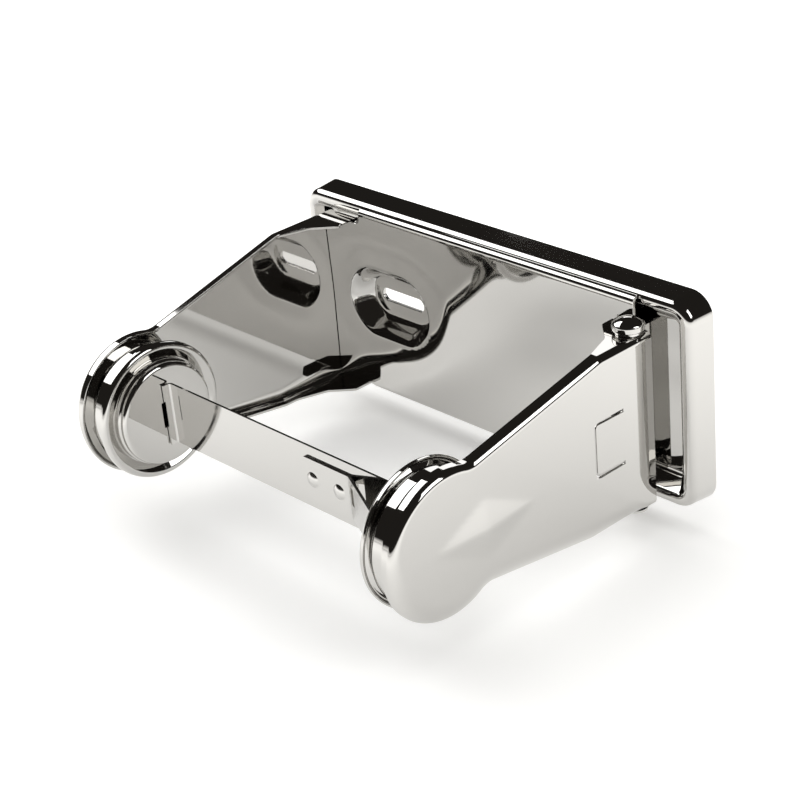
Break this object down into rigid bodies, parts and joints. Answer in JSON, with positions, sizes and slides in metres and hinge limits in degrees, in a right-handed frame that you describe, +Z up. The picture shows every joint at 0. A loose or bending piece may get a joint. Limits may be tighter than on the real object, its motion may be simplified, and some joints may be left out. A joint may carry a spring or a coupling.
{
  "type": "toilet paper holder",
  "caption": "Wall-mounted chrome toilet roll holder: raised-rim plate, pressed arms with round hubs, hinged right arm and a flat lock bar through the core.",
  "frame": {"origin": "centre of the wall mounting plane, at the wall plate's back edge", "axes": "+X right along the wall, +Y into the wall, +Z up; the arms reach towards -Y"},
  "size_m": [0.175, 0.125, 0.072],
  "materials": {
    "chrome": "bright chrome plate on pressed steel",
    "chrome_plate": "bright chrome plate on pressed steel",
    "chrome_rivet": "bright chrome plate",
    "polished_steel": "bright plated steel bar",
    "spring_steel": "satin plated spring steel",
    "rivet_steel": "satin plated steel",
    "washer_steel": "satin plated steel"
  },
  "bodies": {
    "frame": {"wall_plate": "chrome_plate", "bracket": "chrome", "left_arm": "chrome", "left_hub_collar": "chrome", "left_roll_flange": "chrome", "left_core_cup": "chrome", "upper_hinge_rivet": "chrome_rivet", "lower_hinge_rivet": "chrome_rivet", "upper_hinge_washer": "washer_steel", "lower_hinge_washer": "washer_steel"},
    "swing_arm": {"right_arm": "chrome", "right_hub_collar": "chrome", "right_roll_flange": "chrome", "right_core_cup": "chrome"},
    "lock_bar": {"lock_bar": "polished_steel", "leaf_spring": "spring_steel", "bar_rivets": "rivet_steel"}
  },
  "joints": [
    {"name": "arm_swing", "type": "hinge", "parent": "frame", "child": "swing_arm", "pos_m": [0.0698, -0.0184, 0], "axis": [0, 0, 1], "range_deg": [0, 75]},
    {"name": "bar_release", "type": "hinge", "parent": "swing_arm", "child": "lock_bar", "pos_m": [0.0574, -0.0992, -0.0075], "axis": [0, 0, 1], "range_deg": [0, 1.7], "stiffness_Nm_per_rad": 0.6}
  ]
}
